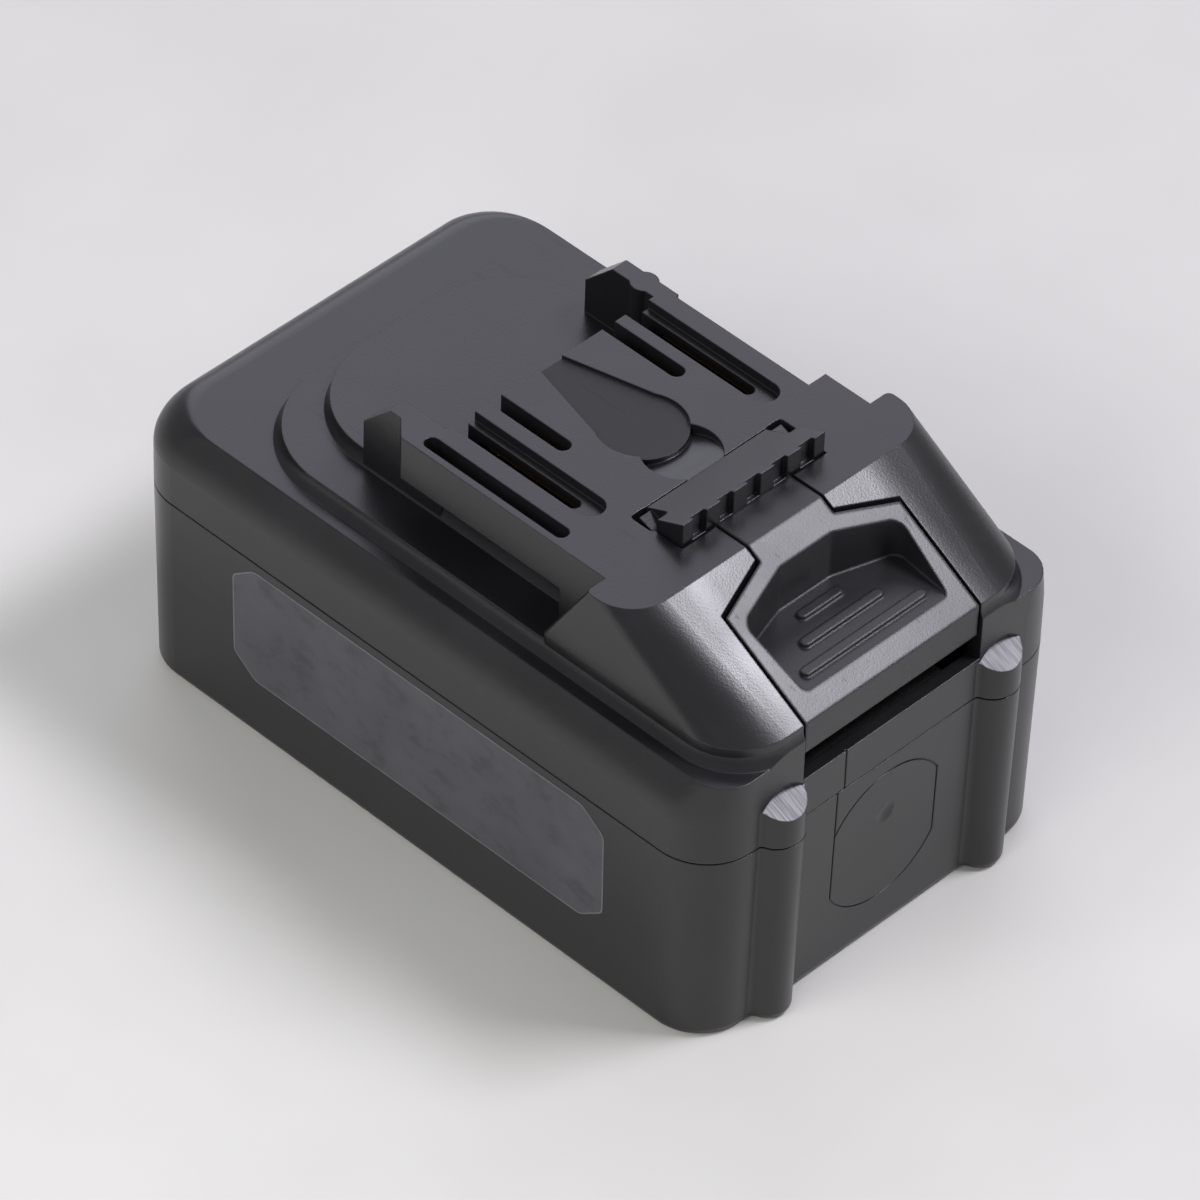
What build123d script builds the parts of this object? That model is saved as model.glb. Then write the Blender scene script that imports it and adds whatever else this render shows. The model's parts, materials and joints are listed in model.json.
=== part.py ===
from build123d import *
import math
import os

# Slide-on battery pack. Millimetres. X is across the pack, Y runs from the release
# button (front, -Y) to the end that goes into the holder (rear, +Y), Z is up.
# The origin is the centre of the bottom. The case grows from the cells inside it.

# Cells and their holders
cell_diameter = 18.35
cell_length = 65.0
cell_cap_diameter = 8.0
cell_cap_height = 1.0
cell_pitch = 18.9
cell_columns = 5
cell_layers = 2
holder_rim = 1.2
holder_grip = 14.0
holder_end = 1.4
holder_fit = 0.1

# Nickel strips and insulating sheets
strip_thickness = 0.2
strip_overhang = 4.0
strip_clearance = 0.4
tab_width = 6.0
sheet_thickness = 0.3
sheet_margin = 1.0

# Case walls and the room inside them
wall = 2.2
end_room = 2.8
front_room = 8.7
rear_room = 9.9
corner_radius = 9.3
draft_angle = 1.0
bottom_round = 1.5
skirt_depth = 14.2
parting_gap = 0.3
parting_gap_depth = 0.6
tongue_inset = 1.3
tongue_length = 1.8
tongue_clearance = 0.12
boss_clearance = 0.3

# Circuit board
board_gap = 1.65
board_thickness = 1.6
board_part_room = 2.3
board_setback = 28.1
board_tail = 7.0
board_corner = 2.0
board_screw_inset = 4.5
board_screw_radius = 1.1
board_screw_head_radius = 2.0
board_screw_head = 1.3
board_screw_bite = 3.2
board_boss_radius = 2.6

# Screw columns at the front and bosses at the rear
column_x = 22.4
column_radius = 4.3
column_reach = 3.2
column_blend = 0.8
facet_rise = 6.6
facet_drop = 1.6
scoop_depth = 1.0
scoop_height = 8.0
rear_boss_inset = 8.0
rear_boss_radius = 3.6
screw_radius = 1.5
screw_length = 16.5
screw_head_radius = 2.6
screw_head_height = 2.2
screw_seat_height = 24.0
screw_fit = 0.05
screw_recess_clearance = 0.25

# Upper case: bevelled sides, rolled rear edge, two low terraces
top_round_height = 7.0
bevel_height = 5.6
side_bevel = 2.7
rear_round = 6.2
deck_front_radius = 6.0
terrace_step = 2.5
terrace_margin = 3.4
terrace_rear_margin = 9.95
terrace_rear_radius = 17.0
terrace_front_radius = 10.0
terrace_flare = 1.2
inner_terrace_step_back = 2.6
inner_terrace_radius = 16.0
inner_terrace_flare = 0.8

# Slide-on plate with its rails and horns
plate_rise = 16.4
plate_thickness = 3.6
neck_half_x = 23.6
plate_setback = 69.6
rail_half_x = 27.1
rail_groove_rise = 8.6
rail_key_thickness = 2.8
rail_setback = 72.8
rail_tip = 3.7
rail_start = 40.5
horn_thickness = 3.0
horn_outside = 0.6
horn_setback = 83.4
horn_chamfer = 5.3
horn_bump_radius = 2.2
horn_bump_reach = 0.7

# Contact slots in the plate
power_slot_inset = 5.8
power_slot_x = neck_half_x - power_slot_inset
power_slot_width = 2.2
power_slot_start = 46.0
ledge_width = 4.8
ledge_depth = 1.6
ledge_lead = 4.4
signal_slot_width = 2.6
signal_slot_start = 54.5
signal_slot_left_step = 6.4
signal_slot_right_step = 5.9
signal_slot_left_x = signal_slot_left_step - power_slot_x
signal_slot_right_x = power_slot_x - signal_slot_right_step
slot_mouth_depth = 9.0
side_slot_x = 24.7
side_slot_width = 2.5
side_slot_start = 41.6
side_slot_length = 28.5
side_slot_depth = 3.0

# Teardrop recess and the round dish in front of it
teardrop_radius = 7.0
teardrop_setback = 51.1
teardrop_mouth = 2.3
teardrop_depth = 0.6
dish_radius = 6.1
dish_setback = 43.1
dish_depth = 2.4

# Front hump
hump_overhang = 0.1
crown_taper = 0.5
hump_foot_setback = 39.6
crown_setback = 31.6
fold_setback = 22.6
nose_setback = 0.5
nose_rise = 3.5
hump_foot_radius = 10.0
crown_radius = 7.0
hump_back_radius = 1.0
slope_wall = 2.6

# Release button and its thumb well
travel = 3.0
button_gap = 0.55
button_half_x = 17.8
button_neck_half_x = 7.45
button_neck_setback = 20.1
button_shoulder_setback = 16.7
button_skirt = 7.2
button_wall = 2.2
sill_clearance = 0.2
well_front_half_x = 14.7
well_front_setback = 3.4
well_side_half_x = 16.0
well_side_setback = 14.2
well_corner_half_x = 14.8
well_corner_setback = 15.4
well_back_half_x = 5.3
well_back_setback = 18.3
well_corner_radius = 1.8
well_depth = 11.1
well_floor_thickness = 2.0
rib_width = 1.7
rib_height = 0.6
rib_pitch = 4.3
rib_front_setback = 6.5
rib_half_lengths = (12.6, 8.3, 4.4)

# Catch behind the button
hook_half_x = 14.5
hook_front_setback = 28.8
hook_length = 9.3
hook_rise = 4.1
hook_gap = 0.3
hook_rear_gap = 0.2
hook_tooth_pitch = 5.5
hook_tooth_depth = 0.8
hook_tooth_share = 0.5
hook_body_depth = 10.0
hook_lip = 1.6
hook_lip_height = 2.0
hook_arm_half_x = 5.0
hook_arm_length = 6.0
hook_arm_height = 3.0
pocket_inner_x = 12.1
pocket_outer_x = 15.4
pocket_length = 4.6
pocket_corner = 0.8
tongue_step = 0.8
tongue_drop = 1.2

# Tray and springs under the button
tray_gap = 0.55
tray_thickness = 2.2
tray_margin = 3.5
tray_front_setback = 6.2
tray_back_setback = 26.5
tray_post_inset = 7.5
tray_post_setback = 22.5
tray_post_radius = 2.8
spring_x = 10.0
spring_setback = 11.0
spring_radius = 2.7
spring_wire = 0.6
spring_turns = 5
spring_seat_gap = 0.1
spring_cup_wall = 0.8
spring_cup_height = 2.0
spring_cup_clearance = 0.4

# Contacts
leaf_thickness = 0.8
leaf_spacing = 1.2
leaf_lead = 1.4
leaf_top_gap = 0.9
leaf_rear_gap = 1.6
signal_leaf_thickness = 0.6
signal_leaf_spacing = 1.0
contact_foot = 1.0
contact_foot_width = 5.0
block_height = 5.5
block_gap = 0.6
block_fit = 0.05

# Foam pads, sensor and parts on the board
foam_gap = 0.3
foam_front_half_x = 15.0
foam_rear_half_x = 20.0
foam_bottom_gap = 2.0
sensor_radius = 1.5
sensor_length = 6.0
sensor_fit = 0.05
switch_size = (9.0, 8.0, 2.0)
switch_count = 4
switch_pitch = 12.5
switch_gap = 4.0
chip_size = (7.0, 7.0, 1.1)
chip_gap = 4.0
small_part_size = (3.2, 1.6, 0.9)
small_part_count = 6
small_part_pitch = 5.0
small_part_gap = 3.0

# Mould insert mark on the front wall
insert_radius = 12.6
insert_half_x = 10.9
insert_height = 20.0
insert_line = 0.3
insert_line_depth = 0.25
insert_stem_x = -9.4
dimple_height = 24.2
dimple_radius = 5.0
dimple_depth = 0.35

# Heights, from the floor up
layer_heights = [wall + holder_rim + cell_diameter / 2 + cell_pitch * n for n in range(cell_layers)]
block_top = layer_heights[-1] + cell_diameter / 2 + holder_rim
board_bottom = block_top + board_gap
board_top = board_bottom + board_thickness
deck_height = board_top + board_part_room + wall
terrace_height = deck_height + terrace_step
inner_terrace_height = terrace_height + terrace_step
plate_height = deck_height + plate_rise
plate_underside = plate_height - plate_thickness
nose_height = deck_height + nose_rise
parting_height = deck_height - skirt_depth
band_height = deck_height - top_round_height
button_foot = nose_height - button_skirt
sill_height = button_foot - travel - sill_clearance
well_floor = plate_height - well_depth
tray_bottom = block_top + tray_gap
tray_top = tray_bottom + tray_thickness
hook_bottom = plate_height - hook_body_depth

# Lengths and widths, from the cell block out
block_length = cell_pitch * (cell_columns - 1) + cell_diameter + 2 * holder_rim
overall_length = block_length + front_room + rear_room + 2 * wall + column_reach
case_half_x = cell_length / 2 + end_room + wall
rear_y = overall_length / 2
front_y = -rear_y + column_reach
terrace_half_x = case_half_x - side_bevel - terrace_margin
terrace_rear_y = rear_y - rear_round - terrace_rear_margin
inner_terrace_rear_y = terrace_rear_y - inner_terrace_step_back
hump_half_x = terrace_half_x + hump_overhang
crown_half_x = hump_half_x - crown_taper
tray_post_x = hump_half_x - tray_post_inset
column_y = front_y + column_radius - column_reach
block_rear_y = rear_y - wall - rear_room
block_front_y = block_rear_y - block_length
block_y = (block_rear_y + block_front_y) / 2
column_ys = [block_y + cell_pitch * (n - (cell_columns - 1) / 2) for n in range(cell_columns)]
nose_y = front_y + nose_setback
fold_y = front_y + fold_setback
plate_rear_y = front_y + plate_setback
neck_y = front_y + crown_setback - wall
hook_front_y = front_y + hook_front_setback
hook_rear_y = hook_front_y + hook_length
board_front_y = front_y + board_setback
small_part_y = plate_rear_y - wall + small_part_gap + small_part_size[1] / 2
chip_y = small_part_y + small_part_size[1] / 2 + chip_gap + chip_size[1] / 2
switch_y = chip_y + chip_size[1] / 2 + switch_gap + switch_size[1] / 2
board_rear_y = switch_y + switch_size[1] / 2 + board_tail
rear_boss_x = case_half_x - rear_boss_inset
rear_boss_y = rear_y - rear_boss_inset
slope = (plate_height - nose_height) / (fold_y - nose_y)
boss_places = [(s * column_x, column_y, column_radius) for s in (-1, 1)]
boss_places += [(s * rear_boss_x, rear_boss_y, rear_boss_radius) for s in (-1, 1)]
far = overall_length


def rounded_plan(half_x, y_front, y_rear, front_radius, rear_radius):
    """Rectangle in plan with its own corner radii at the front and the rear."""
    middle = (y_front + y_rear) / 2
    plan = Pos(0, middle) * Rectangle(2 * half_x, y_rear - y_front)
    corners = plan.vertices().sort_by(Axis.Y)
    plan = fillet(corners[:2], front_radius)
    corners = plan.vertices().sort_by(Axis.Y)
    return fillet(corners[-2:], rear_radius)


def block(x_range, y_range, z_range):
    """Box between two limits along each axis."""
    centre = [(a + b) / 2 for a, b in (x_range, y_range, z_range)]
    size = [b - a for a, b in (x_range, y_range, z_range)]
    return Pos(*centre) * Box(*size)


def rod(x, y, z_low, z_high, radius):
    """Upright cylinder."""
    return Pos(x, y, (z_low + z_high) / 2) * Cylinder(radius, z_high - z_low)


def upright(plan, z_low, z_high):
    """Plan carried straight up from one height to another."""
    return extrude(Pos(0, 0, z_low) * plan, z_high - z_low)


def side_profile(points, x_low, x_high):
    """Outline in (y, z) carried across the pack."""
    face = make_face(Polyline(*[(x_low, y, z) for y, z in points], close=True))
    return extrude(face, amount=x_high - x_low, dir=(1, 0, 0))


def mirror_pair(solid):
    """A solid and its mirror image across the middle of the pack."""
    return [solid, solid.mirror(Plane.YZ)]


def case_plan(inset=0.0):
    """Outline of the case with the two half-round screw columns."""
    body = rounded_plan(case_half_x - inset, front_y + inset, rear_y - inset,
                        corner_radius - inset, corner_radius - inset)
    columns = [Pos(x, y) * Circle(r - inset) for x, y, r in boss_places[:2]]
    plan = body + columns
    edge = front_y + inset
    creases = [v for v in plan.vertices() if abs(v.Y - edge) < 0.01 and abs(v.X) < column_x + column_radius]
    return fillet(creases, column_blend)


def inner_plan(inset):
    """Outline of the case inside, without the columns."""
    return rounded_plan(case_half_x - inset, front_y + inset, rear_y - inset,
                        corner_radius - inset, corner_radius - inset)


def tongue_ring(clearance):
    """Ring of the tongue and groove at the parting, broken at the screw bosses."""
    ring = inner_plan(tongue_inset + clearance) - inner_plan(wall)
    for x, y, radius in boss_places:
        ring -= Pos(x, y) * Circle(radius + boss_clearance + clearance)
    return ring


def make_lower_case():
    """Tub with drafted walls, screw columns and the groove of the parting."""
    outside = extrude(Pos(0, 0, parting_height) * case_plan(), -parting_height, taper=draft_angle)
    outside = fillet(outside.edges().group_by(Axis.Z)[0], bottom_round)
    room = extrude(Pos(0, 0, parting_height) * inner_plan(wall), wall - parting_height, taper=draft_angle)
    for x, y, radius in boss_places:
        room -= rod(x, y, 0, parting_height, radius)
    tub = outside - room
    gap = case_plan() - case_plan(parting_gap_depth)
    tub -= upright(gap, parting_height - parting_gap, parting_height)
    tub -= upright(tongue_ring(0), parting_height - tongue_length - tongue_clearance, parting_height)
    for x, y, radius in boss_places:
        tub -= rod(x, y, 0, screw_seat_height, screw_head_radius + screw_recess_clearance)
        tub -= rod(x, y, screw_seat_height, parting_height, screw_radius + screw_fit)
    return tub - insert_mark()


def insert_mark():
    """Fine outline and dimple that the mould insert leaves on the front wall."""
    outline = Circle(insert_radius) & Rectangle(2 * insert_half_x, 2 * insert_radius)
    ring = outline - offset(outline, -insert_line)
    stem_foot = insert_height + math.sqrt(insert_radius ** 2 - insert_half_x ** 2)
    stem = Rectangle(insert_line, parting_height - stem_foot)
    mark = Pos(0, insert_height) * ring
    mark += Pos(insert_line / 2 - insert_half_x, (stem_foot + parting_height) / 2) * stem
    line = extrude(Plane.XZ.offset(-front_y) * mark, amount=insert_line_depth, both=True)
    hinge = Axis((0, front_y, parting_height), (1, 0, 0))
    lean = (parting_height - dimple_height) * math.tan(math.radians(draft_angle))
    dimple = Pos(0, front_y + lean + dimple_depth - dimple_radius, dimple_height) * Sphere(dimple_radius)
    return line.rotate(hinge, draft_angle) + dimple


def top_form(inset=0.0):
    """Body of the upper case over the skirt: flat bevels at the sides, a rolled edge at the rear."""
    sections = []
    top = deck_height - inset
    for angle in (0, 25, 50, 70, 90):
        rise = math.sin(math.radians(angle))
        rear_inset = rear_round * (1 - math.cos(math.radians(angle)))
        z = band_height + (top - band_height) * rise
        share = max(0.0, (z - top + bevel_height) / bevel_height)
        front_radius = corner_radius + (deck_front_radius - corner_radius) * share
        plan = rounded_plan(case_half_x - side_bevel * share - inset, front_y + inset,
                            rear_y - rear_inset - inset, front_radius - inset, corner_radius - inset)
        sections.append(Pos(0, 0, z) * plan)
    return loft(sections)


def flared(half_x, y_front, y_rear, radii, flare, z_low, z_high):
    """Low terrace whose wall runs out in a hollow curve at its foot."""
    sections = []
    for share in (0.0, 0.25, 0.6, 1.0):
        grow = flare * (1 - share) ** 2
        plan = rounded_plan(half_x + grow, y_front - grow, y_rear + grow, radii[0] + grow, radii[1] + grow)
        sections.append(Pos(0, 0, z_low + (z_high - z_low) * share) * plan)
    return loft(sections)


def hump_form(inset=0.0, drop=0.0):
    """Front hump: steep back, flat crown, long front slope with soft conical corners."""
    foot = rounded_plan(hump_half_x - inset, nose_y + inset, front_y + hump_foot_setback - inset,
                        hump_foot_radius - inset, hump_back_radius)
    crown = rounded_plan(crown_half_x - inset, fold_y, front_y + crown_setback - inset,
                         crown_radius - inset, hump_back_radius)
    cap = loft([Pos(0, 0, nose_height - drop) * foot, Pos(0, 0, plate_height - drop) * crown])
    return cap + upright(foot, deck_height - wall - drop, nose_height - drop)


def button_plan(grow=0.0):
    """Outline of the button in plan: a neck that widens to the thumb pad."""
    neck_x = button_neck_half_x + grow
    pad_x = button_half_x + grow
    neck_y = front_y + button_neck_setback + grow
    pad_y = front_y + button_shoulder_setback + grow
    back_y = hook_front_y + grow
    half = [(neck_x, back_y), (neck_x, neck_y), (pad_x, pad_y), (pad_x, -far)]
    points = half + [(-x, y) for x, y in reversed(half)]
    return make_face(Polyline(*points, close=True))


def well_plan(grow=0.0):
    """Outline of the thumb well in plan."""
    half = [(well_front_half_x, front_y + well_front_setback),
            (well_side_half_x, front_y + well_side_setback),
            (well_corner_half_x, front_y + well_corner_setback),
            (well_back_half_x, front_y + well_back_setback)]
    points = half + [(-x, y) for x, y in reversed(half)]
    plan = make_face(Polyline(*points, close=True))
    plan = fillet(plan.vertices(), well_corner_radius)
    return offset(plan, grow) if grow else plan


def slot_plan(x, width, start, y_rear):
    """Slot in plan with a round front end."""
    y_front = front_y + start
    plan = Pos(x, (y_front + width / 2 + y_rear) / 2) * Rectangle(width, y_rear - y_front - width / 2)
    return plan + Pos(x, y_front + width / 2) * Circle(width / 2)


def teardrop_plan():
    """Round recess whose sides close in towards the rear edge of the plate."""
    centre_y = front_y + teardrop_setback
    tail = make_face(Polyline((-teardrop_radius, centre_y), (teardrop_radius, centre_y),
                              (teardrop_mouth, plate_rear_y), (-teardrop_mouth, plate_rear_y), close=True))
    return tail + Pos(0, centre_y) * Circle(teardrop_radius)


def pocket_plan(side):
    """Open corner beside the rear end of the catch."""
    x = side * (pocket_inner_x + pocket_outer_x) / 2
    y = hook_rear_y + hook_gap - pocket_length / 2
    return Pos(x, y) * RectangleRounded(pocket_outer_x - pocket_inner_x, pocket_length, pocket_corner)


def upper_outside():
    """Outer form of the upper case: skirt, deck, terraces, plate, rails, horns and hump."""
    form = block((-neck_half_x, neck_half_x), (neck_y, plate_rear_y), (deck_height, plate_height))
    form += rails() + horns()
    form += hump_form()
    form += flared(neck_half_x, neck_y, inner_terrace_rear_y,
                   (inner_terrace_flare, inner_terrace_radius), inner_terrace_flare,
                   terrace_height, inner_terrace_height)
    deck_plan = rounded_plan(case_half_x - side_bevel, front_y, rear_y - rear_round,
                             deck_front_radius, corner_radius)
    terrace = flared(terrace_half_x, nose_y, terrace_rear_y,
                     (terrace_front_radius, terrace_rear_radius), terrace_flare,
                     deck_height, terrace_height)
    form += terrace & upright(deck_plan, deck_height, terrace_height)
    skirt = upright(case_plan(), parting_height, band_height)
    return form + (skirt - facet_wedges() + top_form() - facet_scoops())


def rails():
    """Rails along both sides of the plate; the right one is cut back to key the holder."""
    start_y = front_y + rail_start
    rail_y = front_y + rail_setback
    groove = deck_height + rail_groove_rise
    inside = neck_half_x - wall
    made = []
    for side, top in ((-1, plate_height), (1, groove + rail_key_thickness)):
        points = [(side * inside, neck_y), (side * rail_half_x, neck_y), (side * rail_half_x, rail_y),
                  (side * neck_half_x, rail_y + rail_tip), (side * inside, rail_y + rail_tip)]
        made.append(upright(make_face(Polyline(*points, close=True)), groove, top))
        x_range = sorted((side * inside, side * rail_half_x))
        made.append(block(x_range, (neck_y, start_y), (deck_height, plate_height)))
    return made


def horns():
    """Upright ears that carry the neck walls on past the rear edge of the plate."""
    tip_y = front_y + horn_setback
    outline = [(plate_rear_y - wall, terrace_height), (tip_y, terrace_height),
               (tip_y, plate_height - horn_chamfer), (tip_y - horn_chamfer, plate_height),
               (plate_rear_y - wall, plate_height)]
    outer = neck_half_x + horn_outside
    ears = mirror_pair(side_profile(outline, outer - horn_thickness, outer))
    bump_y = plate_rear_y + horn_bump_radius + wall / 2
    bump = rod(outer + horn_bump_reach - horn_bump_radius, bump_y,
               terrace_height, plate_height, horn_bump_radius)
    return ears + [bump]


def facet_wedges():
    """Space over the sloping facets that top the screw columns."""
    facet_top = parting_height + facet_rise
    above = band_height + wall
    points = [(front_y, facet_top), (front_y - 2 * column_reach, facet_top - 2 * facet_drop),
              (front_y - 2 * column_reach, above), (front_y, above)]
    half_x = column_radius + wall
    return [side_profile(points, x - half_x, x + half_x) for x in (-column_x, column_x)]


def facet_scoops():
    """Hollows in the wall behind the facets, square to them and as wide as the columns."""
    half_chord = math.sqrt(column_radius ** 2 - (column_radius - column_reach) ** 2)
    radius = (half_chord ** 2 + scoop_depth ** 2) / (2 * scoop_depth)
    lean = math.atan2(facet_drop, column_reach)
    scoop = Cylinder(radius, scoop_height, align=(Align.CENTER, Align.CENTER, Align.MIN))
    made = []
    for x in (-column_x, column_x):
        facet = Plane(origin=(x, front_y, parting_height + facet_rise), x_dir=(1, 0, 0),
                      z_dir=(0, -math.sin(lean), math.cos(lean)))
        made.append(facet * Pos(0, scoop_depth - radius, 0) * scoop)
    return made


def upper_room():
    """Hollow of the upper case, with the bosses left standing in it."""
    room = upright(inner_plan(wall), parting_height - tongue_length, band_height) + top_form(wall)
    room += upright(rounded_plan(terrace_half_x - wall, nose_y + wall, terrace_rear_y - wall,
                                 terrace_front_radius, terrace_rear_radius - wall),
                    band_height, terrace_height - wall)
    inner_half_x = neck_half_x - wall
    room += upright(rounded_plan(inner_half_x, plate_rear_y, inner_terrace_rear_y - wall,
                                 wall, inner_terrace_radius - wall),
                    band_height, inner_terrace_height - wall)
    room += hump_form(wall, slope_wall)
    contact_front = front_y + power_slot_start - wall / 2
    room += block((-inner_half_x, inner_half_x), (contact_front, plate_rear_y - wall),
                  (band_height, plate_underside))
    catch_half_x = hook_half_x + hook_lip + 2 * hook_gap
    room += block((-catch_half_x, catch_half_x), (hook_front_y - wall, hook_rear_y + wall),
                  (band_height, plate_underside))
    for x, y, radius in boss_places:
        room -= rod(x, y, parting_height, deck_height, radius)
    for x, y in board_screw_places():
        room -= rod(x, y, board_top, deck_height, board_boss_radius)
    for x in (-tray_post_x, tray_post_x):
        room -= rod(x, front_y + tray_post_setback, tray_top, plate_height, tray_post_radius)
    return room


def board_screw_places():
    """Centres of the four board screws."""
    half_x = cell_length / 2 - board_screw_inset
    ys = (board_front_y + board_screw_inset, board_rear_y - board_screw_inset)
    return [(x, y) for x in (-half_x, half_x) for y in ys]


def plate_cuts():
    """Contact slots, side slot, teardrop recess and dish of the plate."""
    beyond = plate_rear_y + horn_bump_radius
    mouth = plate_height - slot_mouth_depth
    cuts = []
    for x in (-power_slot_x, power_slot_x):
        slit = slot_plan(x, power_slot_width, power_slot_start, beyond)
        ledge = slot_plan(x, ledge_width, power_slot_start - ledge_lead, beyond)
        cuts.append(upright(slit, mouth, plate_height))
        cuts.append(upright(ledge, plate_height - ledge_depth, plate_height))
    for x in (signal_slot_left_x, signal_slot_right_x):
        slit = slot_plan(x, signal_slot_width, signal_slot_start, beyond)
        cuts.append(upright(slit, mouth, plate_height))
    side_y = front_y + side_slot_start + side_slot_length / 2
    side_slot = Pos(-side_slot_x, side_y) * SlotOverall(side_slot_length, side_slot_width, rotation=90)
    cuts.append(upright(side_slot, plate_height - side_slot_depth, plate_height))
    cuts.append(upright(teardrop_plan(), plate_height - teardrop_depth, plate_height))
    cuts.append(dish())
    return cuts


def dish():
    """Round dish, deep against the teardrop and level with the plate at its front."""
    centre_y = front_y + dish_setback
    rear = centre_y + dish_radius
    low = plate_height - dish_depth
    floor = [(centre_y - dish_radius, plate_height), (rear, low), (rear, plate_height)]
    bowl = rod(0, centre_y, low, plate_height, dish_radius) & side_profile(floor, -dish_radius, dish_radius)
    return bowl - upright(teardrop_plan(), low, plate_height)


def make_upper_case():
    """Upper case: outer form less its hollow, the openings for the latch and the slots."""
    case = upper_outside() - upper_room()
    case -= upright(button_plan(button_gap), sill_height, plate_height)
    case -= block((-hook_half_x - hook_gap, hook_half_x + hook_gap),
                  (hook_front_y - hook_gap, hook_rear_y + hook_rear_gap), (plate_underside, plate_height))
    for side in (-1, 1):
        case -= upright(pocket_plan(side), plate_underside, plate_height)
    case -= plate_cuts()
    case -= block((insert_stem_x - insert_line / 2, insert_stem_x + insert_line / 2),
                  (front_y, front_y + insert_line_depth), (parting_height, sill_height))
    case += upright(tongue_ring(tongue_clearance), parting_height - tongue_length,
                    parting_height + wall)
    for x, y, radius in boss_places:
        case -= rod(x, y, parting_height, screw_seat_height + screw_length + screw_fit,
                    screw_radius + screw_fit)
    for x, y in board_screw_places():
        case -= rod(x, y, board_top, board_top + board_screw_bite + screw_fit,
                    board_screw_radius + screw_fit)
    for x in (-tray_post_x, tray_post_x):
        case -= rod(x, front_y + tray_post_setback, tray_top, tray_top + board_screw_bite + screw_fit,
                    board_screw_radius + screw_fit)
    return case


def make_latch_button():
    """Release button: shell that follows the hump, with the thumb well and its ribs."""
    prism = upright(button_plan(), 0, plate_height)
    shell = (hump_form() & prism) - hump_form(0, button_skirt)
    inside = upright(offset(button_plan(), -button_wall), 0, plate_height)
    inside &= block((-far, far), (nose_y + button_wall, far), (0, plate_height))
    shell -= hump_form(0, slope_wall) & inside
    shell -= block((-far, far), (-far, nose_y), (0, plate_height))
    bowl = upright(well_plan(well_floor_thickness), well_floor - well_floor_thickness, plate_height)
    shell += bowl & hump_form() & prism
    shell -= upright(well_plan(), well_floor, plate_height)
    for n, half_length in enumerate(rib_half_lengths):
        y = front_y + rib_front_setback + rib_pitch * n
        bar = SlotOverall(2 * half_length, rib_width)
        shell += upright(Pos(0, y) * bar, well_floor, well_floor + rib_height)
    return shell - catch_arm(screw_fit)


def catch_arm(grow=0.0):
    """Arm by which the catch is held under the neck of the button."""
    half_x = hook_arm_half_x + grow
    top = plate_height - slope_wall
    y_range = (hook_front_y - hook_arm_length - grow, hook_front_y)
    return block((-half_x, half_x), y_range, (top - hook_arm_height - grow, top))


def make_latch_hook():
    """Catch: a ramp with a toothed steep face, held under the plate by a lip on each side."""
    half_x = hook_half_x
    ramp = side_profile([(hook_rear_y, plate_height), (hook_front_y, plate_height + hook_rise),
                         (hook_front_y, hook_bottom), (hook_rear_y, hook_bottom)], -half_x, half_x)
    lip_top = plate_underside - hook_gap / 3
    lip_x = half_x + hook_lip
    ramp += block((-lip_x, lip_x), (hook_front_y, hook_rear_y), (lip_top - hook_lip_height, lip_top))
    for side in (-1, 1):
        ramp -= upright(pocket_plan(side), lip_top, plate_height + hook_rise)
        front = hook_rear_y + hook_gap - pocket_length
        back = hook_rear_y - tongue_step
        x_range = sorted((side * (pocket_inner_x - hook_gap), side * half_x))
        ramp += side_profile([(back, plate_height), (back, lip_top), (front, lip_top),
                              (front, plate_height - tongue_drop)], *x_range)
    gap_count = int(half_x / hook_tooth_pitch)
    for n in range(-gap_count, gap_count + 1):
        x = n * hook_tooth_pitch
        half_gap = hook_tooth_pitch * hook_tooth_share / 2
        ramp -= block((x - half_gap, x + half_gap), (hook_front_y, hook_front_y + hook_tooth_depth),
                      (plate_height, plate_height + hook_rise))
    return ramp + catch_arm()


def make_latch_guide():
    """Tray that carries the springs of the button, screwed to two posts of the upper case."""
    y_front = front_y + tray_front_setback
    y_back = front_y + tray_back_setback
    half_x = tray_post_x + tray_margin
    tray = block((-half_x, half_x), (y_front, y_back), (tray_bottom, tray_top))
    for x in (-column_x, column_x):
        tray -= rod(x, column_y, 0, deck_height, column_radius + boss_clearance)
    for x in (-spring_x, spring_x):
        inner = spring_radius + spring_wire / 2 + spring_cup_clearance
        y = front_y + spring_setback
        cup = rod(x, y, tray_top, tray_top + spring_cup_height, inner + spring_cup_wall)
        tray += cup - rod(x, y, tray_top, tray_top + spring_cup_height, inner)
    for x in (-tray_post_x, tray_post_x):
        tray -= rod(x, front_y + tray_post_setback, tray_bottom, tray_top, board_screw_radius + screw_fit)
        tray -= rod(x, front_y + tray_post_setback, tray_bottom, tray_bottom + board_screw_head,
                    board_screw_head_radius + screw_recess_clearance)
    return tray


def helix_path(radius, z_low, z_high, turns):
    """Helix as smooth pairs of arcs, one pair for each quarter turn."""
    steps = 4 * turns
    rise = (z_high - z_low) / steps
    slant = math.atan2(rise, radius * math.pi / 2)
    knots = []
    for n in range(steps + 1):
        angle = n * math.pi / 2
        point = Vector(radius * math.cos(angle), radius * math.sin(angle), z_low + rise * n)
        level = math.cos(slant)
        course = Vector(-math.sin(angle) * level, math.cos(angle) * level, math.sin(slant))
        knots.append((point, course))
    edges = []
    for (start, going), (end, arriving) in zip(knots, knots[1:]):
        chord = end - start
        both = going + arriving
        spread = 2 * (1 - going.dot(arriving))
        reach = (math.sqrt(chord.dot(both) ** 2 + spread * chord.dot(chord)) - chord.dot(both)) / spread
        middle = (start + going * reach + end - arriving * reach) * 0.5
        edges.append(Edge.make_tangent_arc(start, going, middle))
        edges.append(Edge.make_tangent_arc(middle, edges[-1] % 1, end))
    return Wire(edges)


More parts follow.
